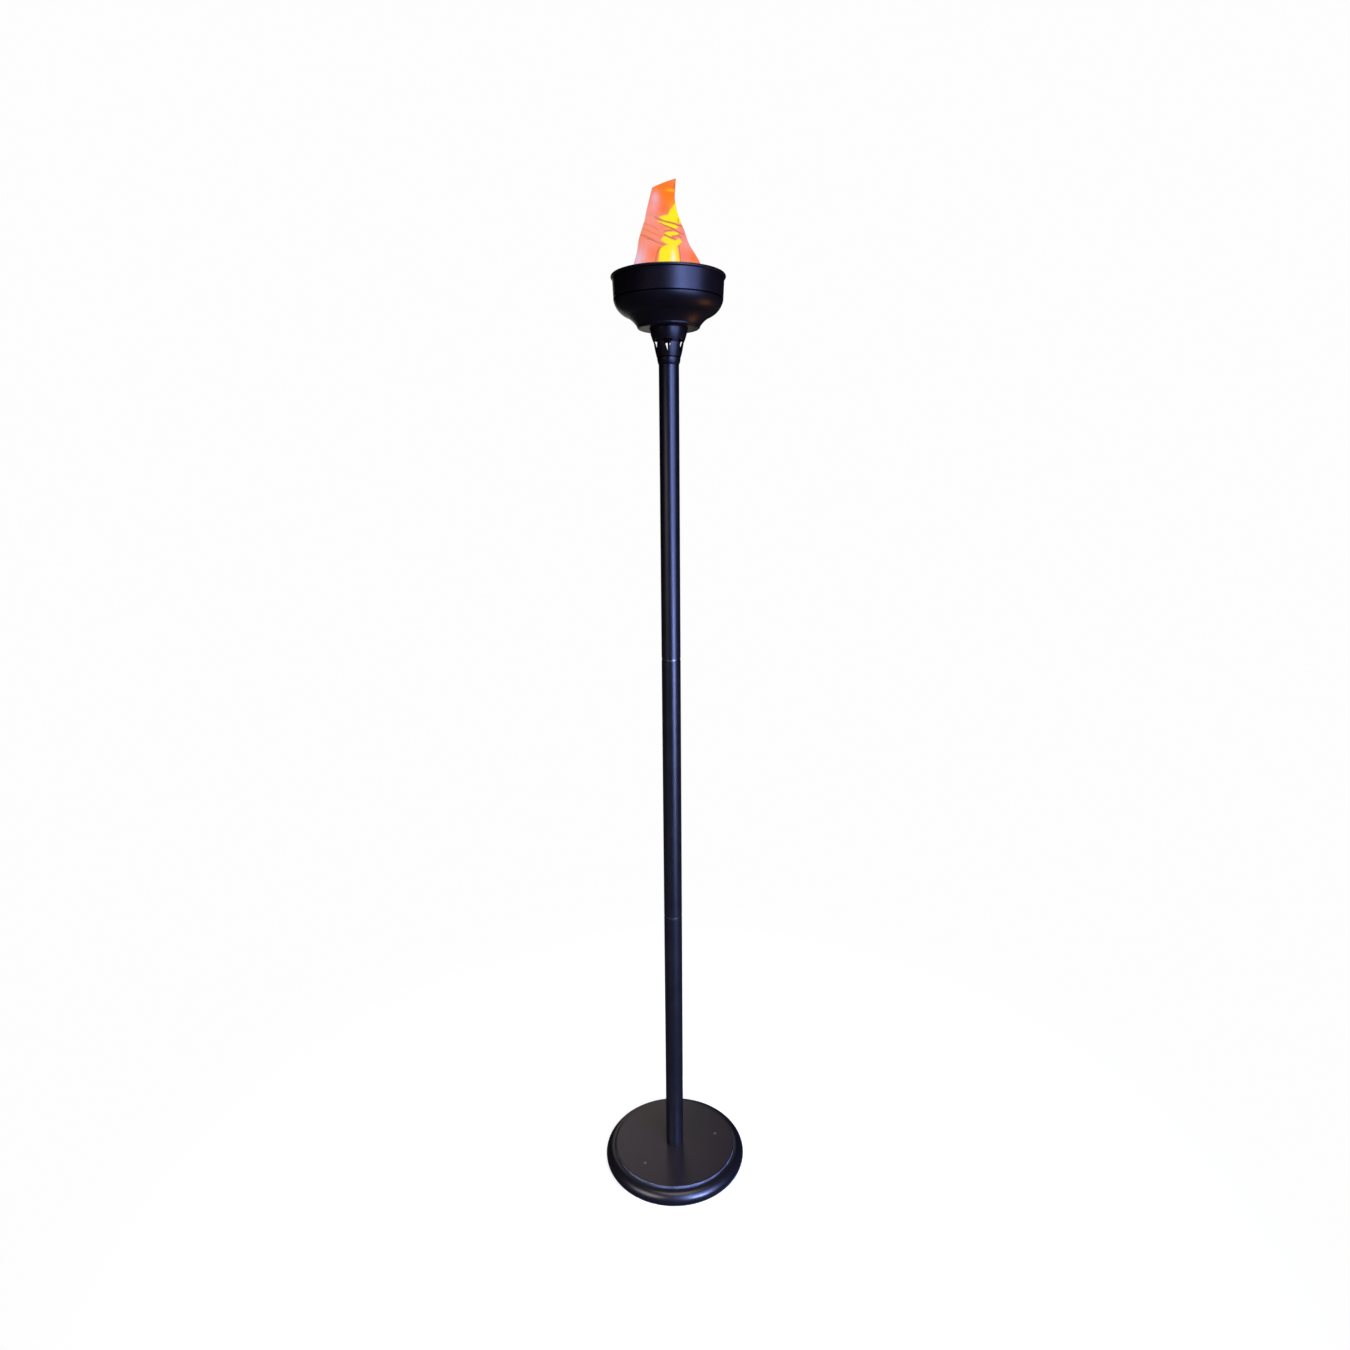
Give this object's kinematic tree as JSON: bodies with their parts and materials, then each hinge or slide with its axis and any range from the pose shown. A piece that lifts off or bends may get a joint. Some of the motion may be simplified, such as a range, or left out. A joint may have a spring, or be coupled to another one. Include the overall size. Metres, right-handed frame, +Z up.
{
  "type": "tiki torch",
  "caption": "Tall black floor torch: round weighted base, sectional pole, vented neck and a bowl with a fan-blown lit silk flame",
  "frame": {"origin": "centre of the base on the floor", "axes": "+Z up the pole; +Y away from the viewer; +X to the right"},
  "size_m": [0.25, 0.25, 1.6388],
  "materials": {
    "black_metal": "satin black powder coat",
    "black_plastic": "satin black moulding",
    "cast_iron": "raw casting",
    "steel": "zinc plated",
    "sintered_bronze": "porous bronze",
    "iron_core": "dark sintered iron",
    "rubber": "soft black rubber",
    "battery_wrap": "printed film sleeve, plain",
    "circuit_board": "green solder mask",
    "board_parts": "black moulded components",
    "lens_yellow": "clear tinted epoxy",
    "lens_orange": "clear tinted epoxy",
    "cable": "flexible sheath",
    "silk": "thin translucent white silk"
  },
  "bodies": {
    "torch": {"base_cover": "black_metal", "base_screws": "steel", "base_weight": "cast_iron", "battery_box": "black_plastic", "battery_cells": "battery_wrap", "battery_hinge_pin": "steel", "board_parts": "board_parts", "bottom_plate": "black_plastic", "bowl": "black_plastic", "bowl_band": "black_plastic", "bowl_screws": "steel", "contact_plates": "steel", "contact_springs": "steel", "control_board": "circuit_board", "coupler_lower": "steel", "coupler_upper": "steel", "cover_rivets": "black_metal", "deck": "black_plastic", "deck_ring": "black_plastic", "deck_screws": "steel", "fan_bearing": "sintered_bronze", "fan_frame": "black_plastic", "fan_guard": "steel", "fan_screws": "steel", "fan_stator": "iron_core", "fan_wire": "cable", "hoop_inner": "black_plastic", "hoop_outer": "black_plastic", "led_board": "circuit_board", "light_wire": "cable", "lights_orange": "lens_orange", "lights_yellow": "lens_yellow", "neck": "black_plastic", "neck_ferrule": "black_plastic", "nipple_foot": "steel", "nipple_neck": "steel", "nut_foot": "steel", "nut_neck": "steel", "plug_foot": "steel", "plug_top": "steel", "power_lead": "cable", "rubber_feet": "rubber", "silk_flame": "silk", "socket_middle": "steel", "socket_upper": "steel", "switch_body": "black_plastic", "switch_pin": "steel", "switch_terminals": "steel", "switch_wire": "cable", "tube_lower": "black_metal", "tube_middle": "black_metal", "tube_upper": "black_metal", "washer_foot": "steel", "washer_neck": "steel"},
    "fan_spinner": {"fan_rotor": "black_plastic", "fan_magnet": "iron_core", "fan_shaft": "steel"},
    "rocker": {"switch_rocker": "black_plastic"},
    "door": {"battery_door": "black_plastic"}
  },
  "joints": [
    {"name": "fan_spin", "type": "hinge", "parent": "torch", "child": "fan_spinner", "pos_m": [0, 0, 1.4703], "axis": [0, 0, 1], "continuous": true},
    {"name": "switch_rock", "type": "hinge", "parent": "torch", "child": "rocker", "pos_m": [0, 0.0678, 1.4919], "axis": [0, 1, 0], "range_deg": [-18, 0]},
    {"name": "battery_door_swing", "type": "hinge", "parent": "torch", "child": "door", "pos_m": [0, 0.0771, 0.0039], "axis": [1, 0, 0], "range_deg": [0, 95]}
  ]
}
